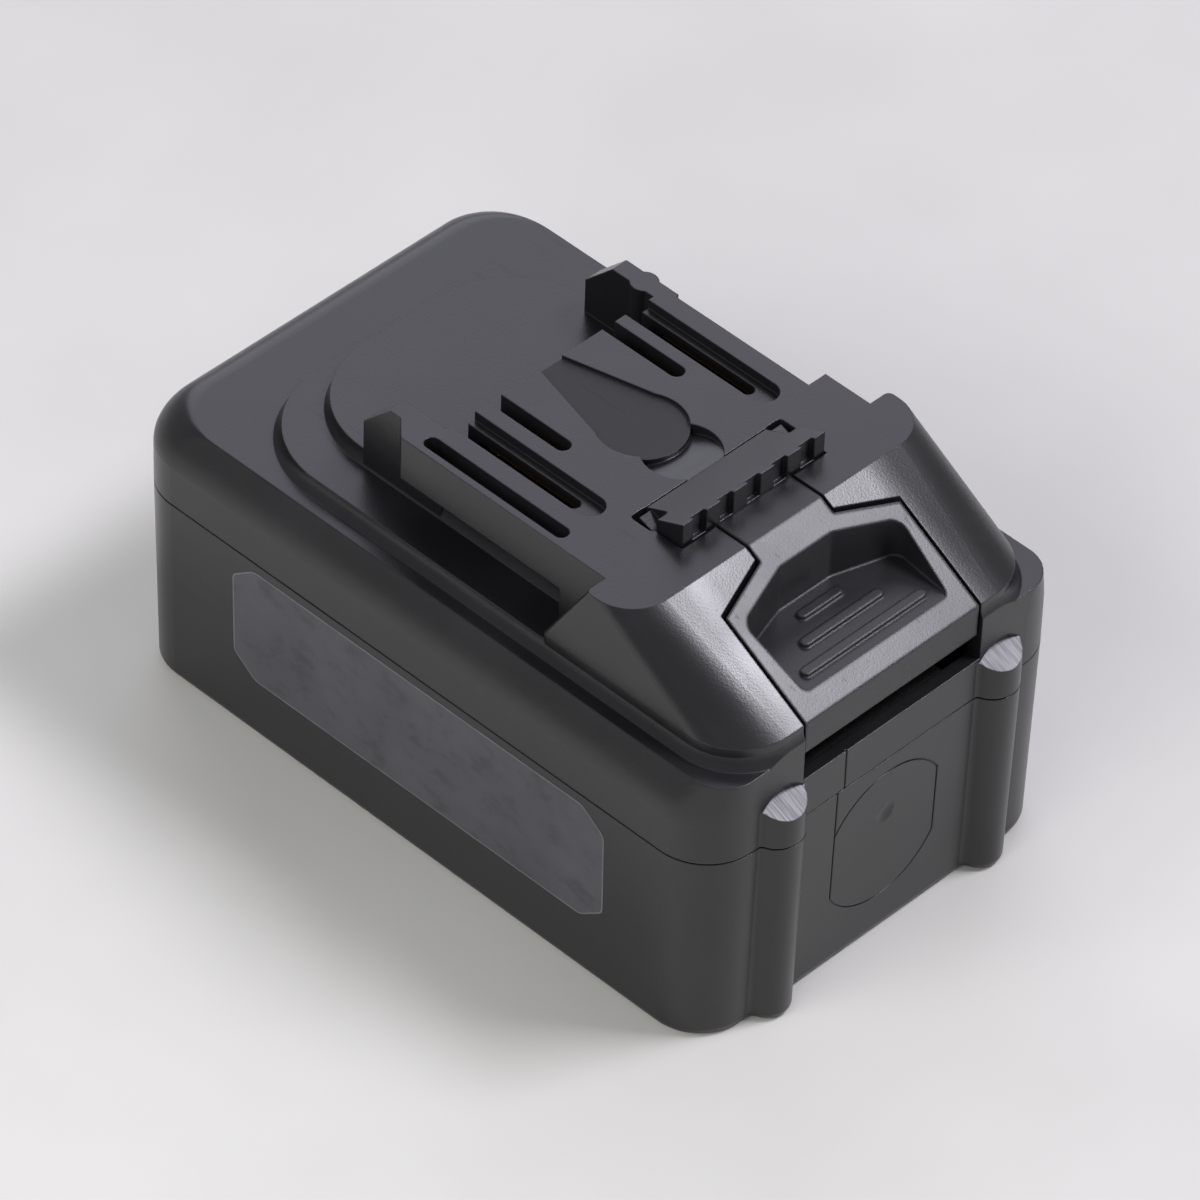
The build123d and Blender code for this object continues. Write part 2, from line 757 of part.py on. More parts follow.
def make_spring(x):
    """Compression spring between the tray and the underside of the thumb well."""
    z_low = tray_top + spring_seat_gap + spring_wire / 2
    z_high = well_floor - well_floor_thickness - spring_seat_gap - spring_wire / 2
    path = helix_path(spring_radius, z_low, z_high, spring_turns)
    profile = Plane(origin=path @ 0, z_dir=path % 0) * Circle(spring_wire / 2)
    gap = (z_high - z_low) / spring_turns - spring_wire
    print("spring: least gap between turns", round(gap, 2))
    return Pos(x, front_y + spring_setback) * sweep(profile, path=path)


def make_cell(column, layer):
    """Round cell lying across the pack; neighbours in a layer point opposite ways."""
    side = 1 if column % 2 == 0 else -1
    body_length = cell_length - cell_cap_height
    body = Pos(0, 0, -cell_cap_height / 2) * Cylinder(cell_diameter / 2, body_length)
    cap_z = cell_length / 2 - cell_cap_height / 2
    cell = body + Pos(0, 0, cap_z) * Cylinder(cell_cap_diameter / 2, cell_cap_height)
    return Pos(0, column_ys[column], layer_heights[layer]) * Rot(0, 90 * side, 0) * cell


def strip_columns(side):
    """Columns of cells that each strip of one side joins."""
    first = 0 if side < 0 else -1
    pairs = [range(n, n + 2) for n in range(first, cell_columns, 2)]
    return [[c for c in pair if 0 <= c < cell_columns] for pair in pairs]


def strip_outline(columns, grow=0.0):
    """Strip seen from the side, in (y, z), with its solder tab up to the board."""
    reach = strip_overhang + grow
    y_low = column_ys[columns[0]] - reach
    y_high = column_ys[columns[-1]] + reach
    z_low = layer_heights[0] - reach
    z_high = layer_heights[-1] + reach
    tab_y = (y_low + y_high) / 2
    half_tab = tab_width / 2 + grow
    tab_z = board_bottom + board_thickness / 2
    tab_low = tab_y - half_tab
    tab_high = tab_y + half_tab
    return [(y_low, z_low), (y_high, z_low), (y_high, z_high), (tab_high, z_high),
            (tab_high, tab_z), (tab_low, tab_z), (tab_low, z_high), (y_low, z_high)]


def make_strip(side, columns):
    """Nickel strip on the ends of the cells that it joins."""
    x_range = sorted((side * cell_length / 2, side * (cell_length / 2 + strip_thickness)))
    return side_profile(strip_outline(columns), *x_range)


def make_holder(side):
    """Moulded frame that holds the cell ends of one side, with channels for the strips."""
    end_x = cell_length / 2 + holder_end
    x_range = sorted((side * end_x, side * (cell_length / 2 - holder_grip)))
    holder = block(x_range, (block_front_y, block_rear_y), (wall, block_top))
    for y in column_ys:
        for z in layer_heights:
            seat = Pos(0, y, z) * Rot(0, 90, 0) * Cylinder(cell_diameter / 2 + holder_fit, cell_length)
            holder -= seat
    channel_range = sorted((side * cell_length / 2, side * end_x))
    for columns in strip_columns(side):
        holder -= side_profile(strip_outline(columns, strip_clearance), *channel_range)
    return holder


def make_sheet(side):
    """Insulating sheet over the strips of one side."""
    inner = cell_length / 2 + holder_end
    x_range = sorted((side * inner, side * (inner + sheet_thickness)))
    return block(x_range, (block_front_y + sheet_margin, block_rear_y - sheet_margin),
                 (wall + sheet_margin, block_top - sheet_margin))


def make_board():
    """Protection board under the deck."""
    plan = rounded_plan(cell_length / 2, board_front_y, board_rear_y, board_corner, board_corner)
    board = upright(plan, board_bottom, board_top)
    for x, y in board_screw_places():
        board -= rod(x, y, board_bottom, board_top, board_screw_radius + screw_fit)
    return board


def on_board(size, x, y):
    """Part that stands on the board."""
    return Pos(x, y, board_top + size[2] / 2) * Box(*size)


def make_switches():
    """Row of power switches near the rear of the board."""
    first = -(switch_count - 1) / 2
    xs = [(first + n) * switch_pitch for n in range(switch_count)]
    return Compound([on_board(switch_size, x, switch_y) for x in xs])


def make_board_parts():
    """Controller chip and a row of small parts."""
    made = [on_board(chip_size, 0, chip_y)]
    first = -(small_part_count - 1) / 2
    for n in range(small_part_count):
        made.append(on_board(small_part_size, (first + n) * small_part_pitch, small_part_y))
    return Compound(made)


def contact(x, thickness, spacing, start, grow=0.0):
    """Forked contact: two leaves on a foot that stands on the board."""
    rear = plate_rear_y - wall - leaf_rear_gap
    y_range = (front_y + start + leaf_lead - grow, rear + grow)
    top = plate_underside - leaf_top_gap
    half_foot = contact_foot_width / 2 + grow
    fork = block((x - half_foot, x + half_foot), y_range, (board_top, board_top + contact_foot + grow))
    for side in (-1, 1):
        near = x + side * (spacing / 2 - grow)
        away = x + side * (spacing / 2 + thickness + grow)
        fork += block(sorted((near, away)), y_range, (board_top, top))
    return fork


def power_contact(x, grow=0.0):
    """Contact under one of the stepped slots."""
    return contact(x, leaf_thickness, leaf_spacing, power_slot_start, grow)


def signal_contact(x, grow=0.0):
    """Contact under one of the short slots."""
    return contact(x, signal_leaf_thickness, signal_leaf_spacing, signal_slot_start, grow)


def make_terminal_block():
    """Base that keeps the contacts upright."""
    half_x = neck_half_x - wall - block_gap
    rear = plate_rear_y - wall - block_gap
    front = front_y + power_slot_start - wall / 2 + block_gap
    base = block((-half_x, half_x), (front, rear), (board_top, board_top + block_height))
    for x in (-power_slot_x, power_slot_x):
        base -= power_contact(x, block_fit)
    for x in (signal_slot_left_x, signal_slot_right_x):
        base -= signal_contact(x, block_fit)
    return base


def make_sensor():
    """Temperature sensor in the groove between two cells of the upper layer."""
    lean = cell_diameter / 2 + sensor_radius + sensor_fit
    z = layer_heights[-1] + math.sqrt(lean ** 2 - (cell_pitch / 2) ** 2)
    y = (column_ys[cell_columns // 2] + column_ys[cell_columns // 2 + 1]) / 2
    body = Cylinder(sensor_radius, sensor_length)
    for side in (-1, 1):
        body += Pos(0, 0, side * sensor_length / 2) * Sphere(sensor_radius)
    return Pos(0, y, z) * Rot(0, 90, 0) * body


def make_foam(half_x, y_range):
    """Foam pad between the cell block and an end wall."""
    z_range = (wall + foam_bottom_gap, block_top - foam_bottom_gap)
    return block((-half_x, half_x), y_range, z_range)


def make_case_screws():
    """Four screws that come up from below and hold the case together."""
    made = []
    for x, y, radius in boss_places:
        head = rod(x, y, screw_seat_height - screw_head_height, screw_seat_height, screw_head_radius)
        made.append(head + rod(x, y, screw_seat_height, screw_seat_height + screw_length, screw_radius))
    return Compound(made)


def small_screw(x, y, seat, reach):
    """Small screw with its head below its seat."""
    head = rod(x, y, seat - board_screw_head, seat, board_screw_head_radius)
    return head + rod(x, y, seat, seat + reach, board_screw_radius)


def make_board_screws():
    """Screws that hold the board to the bosses of the upper case."""
    reach = board_thickness + board_screw_bite
    return Compound([small_screw(x, y, board_bottom, reach) for x, y in board_screw_places()])


def make_guide_screws():
    """Screws that hold the spring tray to its posts."""
    y = front_y + tray_post_setback
    seat = tray_bottom + board_screw_head
    reach = tray_thickness - board_screw_head + board_screw_bite
    return Compound([small_screw(x, y, seat, reach) for x in (-tray_post_x, tray_post_x)])


def make_all():
    """Every piece under its node name."""
    lean = parting_height * math.tan(math.radians(draft_angle))
    front_wall_y = front_y + wall + lean
    rear_wall_y = rear_y - wall - lean
    pieces = {
        "lower_case": make_lower_case(),
        "upper_case": make_upper_case(),
        "latch_button": make_latch_button(),
        "latch_hook": make_latch_hook(),
        "latch_guide": make_latch_guide(),
        "guide_screws": make_guide_screws(),
        "button_spring_left": make_spring(-spring_x),
        "button_spring_right": make_spring(spring_x),
        "circuit_board": make_board(),
        "board_screws": make_board_screws(),
        "board_switches": make_switches(),
        "board_parts": make_board_parts(),
        "terminal_block": make_terminal_block(),
        "terminal_plus": power_contact(-power_slot_x),
        "terminal_minus": power_contact(power_slot_x),
        "signal_terminals": Compound([signal_contact(x) for x in (signal_slot_left_x, signal_slot_right_x)]),
        "temperature_sensor": make_sensor(),
        "foam_front": make_foam(foam_front_half_x, (front_wall_y + foam_gap, block_front_y - foam_gap)),
        "foam_rear": make_foam(foam_rear_half_x, (block_rear_y + foam_gap, rear_wall_y - foam_gap)),
        "case_screws": make_case_screws(),
    }
    for side, name in ((-1, "left"), (1, "right")):
        pieces[f"cell_holder_{name}"] = make_holder(side)
        pieces[f"insulator_{name}"] = make_sheet(side)
        for n, columns_joined in enumerate(strip_columns(side)):
            pieces[f"link_{name}_{n + 1}"] = make_strip(side, columns_joined)
    for layer in range(cell_layers):
        for column in range(cell_columns):
            number = layer * cell_columns + column + 1
            pieces[f"cell_{number:02d}"] = make_cell(column, layer)
    return pieces


os.makedirs("parts", exist_ok=True)
for node, solid in make_all().items():
    export_step(solid, f"parts/{node}.step")
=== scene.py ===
import json
import math

import bmesh
import bpy
from mathutils import Matrix, Vector


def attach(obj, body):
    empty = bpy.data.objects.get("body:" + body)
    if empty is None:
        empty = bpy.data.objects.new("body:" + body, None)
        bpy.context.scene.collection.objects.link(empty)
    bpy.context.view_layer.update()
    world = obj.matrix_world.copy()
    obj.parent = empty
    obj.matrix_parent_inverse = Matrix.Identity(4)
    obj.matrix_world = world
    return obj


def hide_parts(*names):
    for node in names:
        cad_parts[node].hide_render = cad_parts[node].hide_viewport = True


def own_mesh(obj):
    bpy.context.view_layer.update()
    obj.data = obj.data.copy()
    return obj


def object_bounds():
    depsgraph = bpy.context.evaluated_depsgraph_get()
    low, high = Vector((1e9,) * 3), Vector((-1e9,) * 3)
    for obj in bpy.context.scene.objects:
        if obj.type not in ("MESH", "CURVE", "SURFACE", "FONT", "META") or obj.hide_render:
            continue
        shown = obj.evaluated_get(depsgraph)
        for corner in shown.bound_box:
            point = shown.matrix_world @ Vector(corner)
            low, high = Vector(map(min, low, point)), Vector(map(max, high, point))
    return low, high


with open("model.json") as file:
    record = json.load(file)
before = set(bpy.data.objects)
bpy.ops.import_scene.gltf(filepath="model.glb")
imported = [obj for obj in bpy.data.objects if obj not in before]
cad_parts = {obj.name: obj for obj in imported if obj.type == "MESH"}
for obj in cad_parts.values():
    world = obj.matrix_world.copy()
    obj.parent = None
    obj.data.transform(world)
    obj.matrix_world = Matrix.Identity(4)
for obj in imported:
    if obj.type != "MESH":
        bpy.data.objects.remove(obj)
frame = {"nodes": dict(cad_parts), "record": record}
cad_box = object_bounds()

MM = 0.001
WHOLE_LOW, WHOLE_HIGH = (Vector(corner) for corner in cad_box)


# Objects and meshes
WELD_MM = 0.001


def add_object(name, data):
    """New object in the scene."""
    made = bpy.data.objects.new(name, data)
    bpy.context.scene.collection.objects.link(made)
    return made


def plain_mesh(name, mesh):
    """Mesh data from an edit mesh, which is then freed."""
    data = bpy.data.meshes.new(name)
    mesh.to_mesh(data)
    mesh.free()
    return data


def welded_copy(node):
    """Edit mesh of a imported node, with its loose triangles joined."""
    mesh = bmesh.new()
    mesh.from_mesh(frame["nodes"][node].data)
    bmesh.ops.remove_doubles(mesh, verts=list(mesh.verts), dist=WELD_MM * MM)
    return mesh


# Camera, in metres: the photograph's viewpoint, worked out from the case's own corners
IMAGE_WIDTH_PX = 1200
FOCAL_PX = 9045.1
SENSOR_MM = 36.0
VIEW_AZIMUTH = math.radians(-46.67)
VIEW_ELEVATION = math.radians(42.66)
VIEW_ROLL = math.radians(2.11)
VIEW_DISTANCE = 1.32827
VIEW_TARGET = Vector((0.0, 0.0, 0.027))


def add_camera():
    """Long lens at the photograph's angle."""
    back = Vector((math.sin(VIEW_AZIMUTH) * math.cos(VIEW_ELEVATION),
                   -math.cos(VIEW_AZIMUTH) * math.cos(VIEW_ELEVATION),
                   math.sin(VIEW_ELEVATION)))
    level = Vector((math.cos(VIEW_AZIMUTH), math.sin(VIEW_AZIMUTH), 0.0))
    upward = back.cross(level)
    right = level * math.cos(VIEW_ROLL) + upward * math.sin(VIEW_ROLL)
    up = upward * math.cos(VIEW_ROLL) - level * math.sin(VIEW_ROLL)
    data = bpy.data.cameras.new("photo_camera")
    data.sensor_width = SENSOR_MM
    data.lens = FOCAL_PX * SENSOR_MM / IMAGE_WIDTH_PX
    camera = add_object("photo_camera", data)
    turn = Matrix((right, up, back)).transposed().to_4x4()
    camera.matrix_world = Matrix.Translation(VIEW_TARGET + back * VIEW_DISTANCE) @ turn
    bpy.context.scene.camera = camera


# Colours and nodes: the three inputs of a Mix node for colours go by number
MIX_SHARE, MIX_FIRST, MIX_SECOND = 0, 6, 7


def linear(hex_colour):
    """sRGB hex to linear RGBA."""
    channels = [int(hex_colour[i:i + 2], 16) / 255 for i in (1, 3, 5)]
    return tuple(c / 12.92 if c <= 0.04045 else ((c + 0.055) / 1.055) ** 2.4 for c in channels) + (1.0,)


def add_node(tree, kind, inputs=None, **settings):
    """One node. Settings are its properties; an input takes a value, an output, a node or a list of nodes."""
    node = tree.nodes.new(kind)
    for name, value in settings.items():
        setattr(node, name, value)
    for name, value in (inputs or {}).items():
        for source in value if isinstance(value, list) else [value]:
            if isinstance(source, bpy.types.Node):
                source = next(output for output in source.outputs if output.enabled)
            if isinstance(source, bpy.types.NodeSocket):
                tree.links.new(source, node.inputs[name])
            else:
                node.inputs[name].default_value = source
    return node


def spread(value, span, target=(0.0, 1.0)):
    """Inputs for a Map Range node that carries a span of values over to a target span, held at the ends."""
    return {"Value": value, "From Min": span[0], "From Max": span[1],
            "To Min": target[0], "To Max": target[1]}


def new_material(name):
    """Material with an empty tree."""
    material = bpy.data.materials.new(name)
    material.use_nodes = True
    material.node_tree.nodes.clear()
    return material, material.node_tree


def add_surface(tree, inputs):
    """The surface shader of a material, with what feeds it."""
    shader = add_node(tree, "ShaderNodeBsdfPrincipled", inputs)
    add_node(tree, "ShaderNodeOutputMaterial", {"Surface": shader})


# Noise lies around 0.5, and each of these spans picks the part of it that a pattern uses
MOST_NOISE = (0.3, 0.7)
MIDDLE_NOISE = (0.35, 0.65)
DUST_NOISE = (0.45, 0.75)
STAIN_NOISE = (0.4, 0.7)
SCRATCH_NOISE = (0.66, 0.74)
FILM_RUB_NOISE = (0.54, 0.74)


def grain(tree, size_mm, detail=2.0, stretch=(1.0, 1.0, 1.0), roughness=0.5):
    """Noise whose features are about size_mm across, in the object's own coordinates."""
    place = add_node(tree, "ShaderNodeTexCoord").outputs["Object"]
    mapping = add_node(tree, "ShaderNodeMapping", {"Vector": place, "Scale": stretch})
    return add_node(tree, "ShaderNodeTexNoise", {
        "Vector": mapping, "Scale": 1.0 / (size_mm * MM), "Detail": detail, "Roughness": roughness})


# Moulded plastics: roughness runs from 0, polished, to 1, matt, and a share is how much of a colour shows
CASE_COLOUR = "#161618"
# Paler colour of the edges: wear, and also a painted highlight along them
CASE_WORN_EDGE_HIGHLIGHT = "#38383c"
CASE_DUST = "#29292c"
# Pale colour on the facets over the screw columns: a painted highlight
FACET_HIGHLIGHT_COLOUR = "#727177"
BUTTON_COLOUR = "#18181a"
CASE_ROUGHNESS = 0.31
BUTTON_ROUGHNESS = 0.36
TEARDROP_DULLING = 0.34
DISH_DULLING = 0.24
FACET_DULLING = 0.12
SCRATCH_DULLING = 0.06
HANDLING_SHEEN = -0.03
HANDLING_DULLING = 0.04
DUST_SHARE = 0.22
EDGE_RUB_AND_HIGHLIGHT_SHARES = (0.10, 0.45)
PLASTIC_IOR = 1.56

# Patterns of the plastics, in mm: the spark grain is about three times as coarse as the real one, to show
SPARK_GRAIN_MM = 0.32
SPARK_DEPTH_MM = 0.018
BUTTON_DEPTH_MM = 0.014
INNER_DEPTH_MM = 0.006
HANDLING_PATCH_MM = 16.0
SCRATCH_SPACING_MM = 1.1
SCRATCH_STRETCH = (1.0, 0.06, 1.0)
FACET_STREAK_MM = 0.35
FACET_STREAK_STRETCH = (1.0, 0.05, 0.05)

# Edges that the mould leaves rounded, and how far a normal turns there, as a cosine
EDGE_RADIUS_MM = 0.28
BUTTON_EDGE_RADIUS_MM = 0.65
EDGE_SAMPLES = 6
EDGE_TURN = (0.995, 0.90)

# Places on the case, in mm, and the normals that tell its faces apart
SLOPE_LOW_Z = 52.0
SLOPE_FADE = 1.0
SLOPE_CROWN_START = 16.0
SLOPE_CROWN_END = 21.0
SLOPE_CROWN_LEAN = 0.13
TEARDROP_Z = 65.4
DISH_Z = 63.6
FACET_LOW_Z = 39.5
FACET_HIGH_Z = 42.9
FACE_MARGIN = 0.1
FACE_FADE = 0.05
FRONT_NORMAL = (-0.05, -0.40)
RISING_NORMAL = (0.2, 0.5)
LEVEL_NORMAL = (0.98, 0.999)


def position(tree):
    """The object's own coordinates in millimetres, as three outputs."""
    place = add_node(tree, "ShaderNodeTexCoord").outputs["Object"]
    scaled = add_node(tree, "ShaderNodeVectorMath", {0: place, "Scale": 1 / MM}, operation="SCALE")
    return add_node(tree, "ShaderNodeSeparateXYZ", {"Vector": scaled}).outputs


def facing(tree):
    """The surface normal, as three outputs."""
    normal = add_node(tree, "ShaderNodeNewGeometry").outputs["Normal"]
    return add_node(tree, "ShaderNodeSeparateXYZ", {"Vector": normal}).outputs


def edge_break(tree, radius_mm):
    """Normal rounded over sharp edges, and a mask that is 1 on those edges."""
    soft = add_node(tree, "ShaderNodeBevel", {"Radius": radius_mm * MM}, samples=EDGE_SAMPLES)
    flat = add_node(tree, "ShaderNodeNewGeometry").outputs["Normal"]
    cosine = add_node(tree, "ShaderNodeVectorMath", {0: soft, 1: flat}, operation="DOT_PRODUCT")
    return soft, add_node(tree, "ShaderNodeMapRange", spread(cosine, EDGE_TURN))


def band(tree, value, low, high, fade):
    """1 between two limits, 0 outside them, with soft ends."""
    above = add_node(tree, "ShaderNodeMapRange", spread(value, (low - fade, low)))
    below = add_node(tree, "ShaderNodeMapRange", spread(value, (high + fade, high)))
    return add_node(tree, "ShaderNodeMath", {0: above, 1: below}, operation="MULTIPLY")


def forward_slope(tree, normal):
    """1 where a face looks up and to the front, as the slope of the hump and the facets do."""
    front = add_node(tree, "ShaderNodeMapRange", spread(normal["Y"], FRONT_NORMAL))
    rising = add_node(tree, "ShaderNodeMapRange", spread(normal["Z"], RISING_NORMAL))
    return add_node(tree, "ShaderNodeMath", {0: front, 1: rising}, operation="MULTIPLY")


def level_face(tree, place, normal, height):
    """1 on the flat faces that look up at one height, such as the floor of a recess."""
    near = band(tree, place["Z"], height - FACE_MARGIN, height + FACE_MARGIN, FACE_FADE)
    level = add_node(tree, "ShaderNodeMapRange", spread(normal["Z"], LEVEL_NORMAL))
    return add_node(tree, "ShaderNodeMath", {0: near, 1: level}, operation="MULTIPLY")


def crowned(tree, place, normal, under):
    """Normal of the slope beside the button, which swells a little towards its sides."""
    across = add_node(tree, "ShaderNodeMath", {0: place["X"]}, operation="ABSOLUTE")
    crown = spread(across, (SLOPE_CROWN_START, SLOPE_CROWN_END), (0.0, SLOPE_CROWN_LEAN))
    lean = add_node(tree, "ShaderNodeMapRange", crown)
    side = add_node(tree, "ShaderNodeMath", {0: place["X"]}, operation="SIGN")
    lean = add_node(tree, "ShaderNodeMath", {0: lean, 1: side}, operation="MULTIPLY")
    above = add_node(tree, "ShaderNodeMapRange", spread(place["Z"], (SLOPE_LOW_Z, SLOPE_LOW_Z + SLOPE_FADE)))
    slope = forward_slope(tree, normal)
    slope = add_node(tree, "ShaderNodeMath", {0: slope, 1: above}, operation="MULTIPLY")
    lean = add_node(tree, "ShaderNodeMath", {0: lean, 1: slope}, operation="MULTIPLY")
    sideways = add_node(tree, "ShaderNodeCombineXYZ", {"X": lean})
    leaned = add_node(tree, "ShaderNodeVectorMath", {0: under, 1: sideways}, operation="ADD")
    return add_node(tree, "ShaderNodeVectorMath", {0: leaned}, operation="NORMALIZE")


def dulled_recesses(tree, place, normal, dull):
    """Roughness, with the floors of the teardrop and of the dish duller than the rest."""
    for height, dulling in ((TEARDROP_Z, TEARDROP_DULLING), (DISH_Z, DISH_DULLING)):
        recess = level_face(tree, place, normal, height)
        more = add_node(tree, "ShaderNodeMath", {0: recess, 1: dulling}, operation="MULTIPLY")
        dull = add_node(tree, "ShaderNodeMath", {0: dull, 1: more}, operation="ADD")
    return dull


def facets_with_painted_highlight(tree, place, normal, base, dull):
    """Colour and roughness, with a painted highlight in pale streaks across the facets over the screw
    columns, which are also duller.
    """
    height = band(tree, place["Z"], FACET_LOW_Z, FACET_HIGH_Z, FACE_MARGIN)
    slope = forward_slope(tree, normal)
    facet_mask = add_node(tree, "ShaderNodeMath", {0: slope, 1: height}, operation="MULTIPLY")
    highlight_streaks = grain(tree, FACET_STREAK_MM, detail=3.0, stretch=FACET_STREAK_STRETCH)
    highlight_streaks = add_node(tree, "ShaderNodeMapRange", spread(highlight_streaks, MIDDLE_NOISE))
    highlight_streaks = add_node(tree, "ShaderNodeMath", {0: facet_mask, 1: highlight_streaks}, operation="MULTIPLY")
    # Pale streaks on the facets: a painted highlight
    base = add_node(tree, "ShaderNodeMix", {
        MIX_SHARE: highlight_streaks, MIX_FIRST: base, MIX_SECOND: linear(FACET_HIGHLIGHT_COLOUR)}, data_type="RGBA")
    more = add_node(tree, "ShaderNodeMath", {0: facet_mask, 1: FACET_DULLING}, operation="MULTIPLY")
    return base, add_node(tree, "ShaderNodeMath", {0: dull, 1: more}, operation="ADD")


def moulded_plastic(name, colour, worn, dust, roughness, depth_mm=SPARK_DEPTH_MM, edge_mm=EDGE_RADIUS_MM,
                    case=False):
    """Plastic out of a steel mould: fine grain, soft edges paler from rubbing and from a painted highlight,
    dust and scratches from handling.
    """
    material, tree = new_material(name)
    place = position(tree)
    normal = facing(tree)
    fine = grain(tree, SPARK_GRAIN_MM, detail=1.5)
    patches = grain(tree, HANDLING_PATCH_MM, detail=4.0)
    scratches = grain(tree, SCRATCH_SPACING_MM, stretch=SCRATCH_STRETCH)
    rounded, edges = edge_break(tree, edge_mm)

    dusty = add_node(tree, "ShaderNodeMapRange", spread(patches, DUST_NOISE, (0.0, DUST_SHARE)))
    base = add_node(tree, "ShaderNodeMix", {
        MIX_SHARE: dusty, MIX_FIRST: linear(colour), MIX_SECOND: linear(dust)}, data_type="RGBA")
    # Paler edges: rubbed wear, and also a painted highlight along every sharp edge
    rubbed = add_node(tree, "ShaderNodeMapRange", spread(patches, MIDDLE_NOISE, EDGE_RUB_AND_HIGHLIGHT_SHARES))
    rubbed = add_node(tree, "ShaderNodeMath", {0: edges, 1: rubbed}, operation="MULTIPLY")
    base = add_node(tree, "ShaderNodeMix", {
        MIX_SHARE: rubbed, MIX_FIRST: base, MIX_SECOND: linear(worn)}, data_type="RGBA")

    handled = (roughness + HANDLING_SHEEN, roughness + HANDLING_DULLING)
    dull = add_node(tree, "ShaderNodeMapRange", spread(patches, MOST_NOISE, handled))
    lines = add_node(tree, "ShaderNodeMapRange", spread(scratches, SCRATCH_NOISE, (0.0, SCRATCH_DULLING)))
    dull = add_node(tree, "ShaderNodeMath", {0: dull, 1: lines}, operation="ADD")

    if case:
        rounded = crowned(tree, place, normal, rounded)
        dull = dulled_recesses(tree, place, normal, dull)
        base, dull = facets_with_painted_highlight(tree, place, normal, base, dull)
    relief = add_node(tree, "ShaderNodeBump", {"Height": fine, "Distance": depth_mm * MM, "Normal": rounded})
    add_surface(tree, {"Base Color": base, "Roughness": dull, "Normal": relief, "IOR": PLASTIC_IOR})
    return material


def case_material():
    """Spark-eroded nylon: charcoal black with a fine even grain that softens every highlight to satin."""
    return moulded_plastic("spark_eroded_nylon", CASE_COLOUR, CASE_WORN_EDGE_HIGHLIGHT, CASE_DUST, CASE_ROUGHNESS, case=True)


def button_material():
    """The same nylon from a smoother mould: a shade lighter and duller, with broad soft edges."""
    return moulded_plastic("spark_eroded_button_nylon", BUTTON_COLOUR, CASE_WORN_EDGE_HIGHLIGHT, CASE_DUST, BUTTON_ROUGHNESS,
                           depth_mm=BUTTON_DEPTH_MM, edge_mm=BUTTON_EDGE_RADIUS_MM)


def inner_material():
    """Plain ABS inside the case: dark grey and dull, nearly without grain."""
    return moulded_plastic("plain_moulded_abs", "#242426", "#333336", "#3a3a3d", roughness=0.50,
                           depth_mm=INNER_DEPTH_MM)


# Metals: the lines of drawing and rolling are coarser here than on real metal, so that they show
METAL_STAIN_MM = 6.0
METAL_STAIN_SHARE = 0.5
METAL_LINE_DEPTH_MM = 0.003
METAL_POLISH = -0.06
METAL_DULLING = 0.10


def drawn_metal(name, colour, stain, roughness, line_mm, stretch):
    """Bare or plated metal with fine lines along the way it was drawn or rolled, and slow darker stains."""
    material, tree = new_material(name)
    lines = grain(tree, line_mm, stretch=stretch)
    stains = grain(tree, METAL_STAIN_MM, detail=3.0)
    stained = add_node(tree, "ShaderNodeMapRange", spread(stains, STAIN_NOISE, (0.0, METAL_STAIN_SHARE)))
    base = add_node(tree, "ShaderNodeMix", {
        MIX_SHARE: stained, MIX_FIRST: linear(colour), MIX_SECOND: linear(stain)}, data_type="RGBA")
    sheen = (roughness + METAL_POLISH, roughness + METAL_DULLING)
    dull = add_node(tree, "ShaderNodeMapRange", spread(lines, MOST_NOISE, sheen))
    relief = add_node(tree, "ShaderNodeBump", {"Height": lines, "Distance": METAL_LINE_DEPTH_MM * MM})
    add_surface(tree, {"Base Color": base, "Roughness": dull, "Normal": relief, "Metallic": 1.0})
    return material


def screw_material():
    """Zinc-plated steel: a soft grey shine, with faint lines along the shank."""
    return drawn_metal("zinc_plated_steel", "#a9a9ab", "#7d7c7a", roughness=0.32, line_mm=0.3,
                       stretch=(1.0, 1.0, 0.2))


def spring_material():
    """Drawn spring steel: a hard bright grey, finely streaked."""
    return drawn_metal("drawn_spring_steel", "#b8b8b6", "#8a8885", roughness=0.28, line_mm=0.2,
                       stretch=(1.0, 1.0, 0.3))


def contact_material():
    """Thinly plated brass: warm and pale, browner where the plating has worn, lined along its length."""
    return drawn_metal("tin_plated_brass", "#d8b878", "#a9813f", roughness=0.30, line_mm=0.3,
                       stretch=(1.0, 0.2, 1.0))


def nickel_material():
    """Rolled nickel: a yellowish white shine, with rolling lines along the strip."""
    return drawn_metal("rolled_nickel_strip", "#c9c6bf", "#a5a199", roughness=0.33, line_mm=0.25,
                       stretch=(1.0, 0.15, 1.0))


# Board, sheets and soft pieces
ROUGHNESS_SWAY = 0.05


def plain_finish(name, colour, other, patch_mm, roughness, depth_mm, grain_mm):
    """Non-metal with a slow change of colour and a fine surface grain."""
    material, tree = new_material(name)
    patches = grain(tree, patch_mm, detail=3.0)
    fine = grain(tree, grain_mm)
    share = add_node(tree, "ShaderNodeMapRange", spread(patches, MIDDLE_NOISE))
    base = add_node(tree, "ShaderNodeMix", {
        MIX_SHARE: share, MIX_FIRST: linear(colour), MIX_SECOND: linear(other)}, data_type="RGBA")
    sway = (roughness - ROUGHNESS_SWAY, roughness + ROUGHNESS_SWAY)
    dull = add_node(tree, "ShaderNodeMapRange", spread(fine, MOST_NOISE, sway))
    relief = add_node(tree, "ShaderNodeBump", {"Height": fine, "Distance": depth_mm * MM})
    add_surface(tree, {"Base Color": base, "Roughness": dull, "Normal": relief})
    return material


